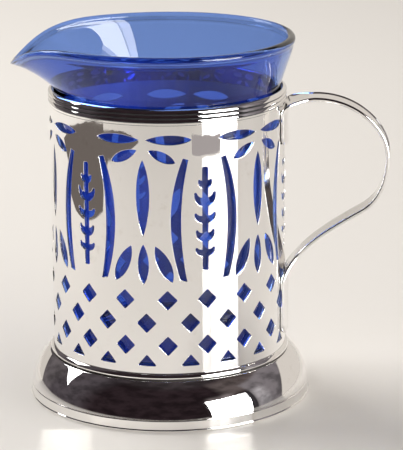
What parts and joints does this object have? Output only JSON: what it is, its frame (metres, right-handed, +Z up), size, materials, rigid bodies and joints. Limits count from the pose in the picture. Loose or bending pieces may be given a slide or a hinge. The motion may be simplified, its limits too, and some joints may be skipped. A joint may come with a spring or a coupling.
{
  "type": "creamer holder",
  "caption": "Footed pierced silver-plate holder with a strap handle and a loose blue glass cream jug with a pulled spout.",
  "frame": {"origin": "middle of the whole outline, spout tip to handle and side to side, at the level of the table", "axes": "+Z up, +X towards the handle, -X towards the spout, the round axis stands at x = -9.2 mm"},
  "size_m": [0.1052, 0.079, 0.1022],
  "materials": {
    "silver_plate": "polished silver plate",
    "blue_glass": "clear cobalt blue, polished"
  },
  "bodies": {
    "holder": {"foot_rim": "silver_plate", "foot_skirt": "silver_plate", "base_bead": "silver_plate", "seat_disc": "silver_plate", "pierced_sleeve": "silver_plate", "top_collar": "silver_plate", "handle_strap": "silver_plate"},
    "jug": {"glass_jug": "blue_glass"}
  },
  "joints": [
    {"name": "jug_lift", "type": "slide", "parent": "holder", "child": "jug", "axis": [0, 0, 1], "range_m": [0, 0.09]}
  ]
}
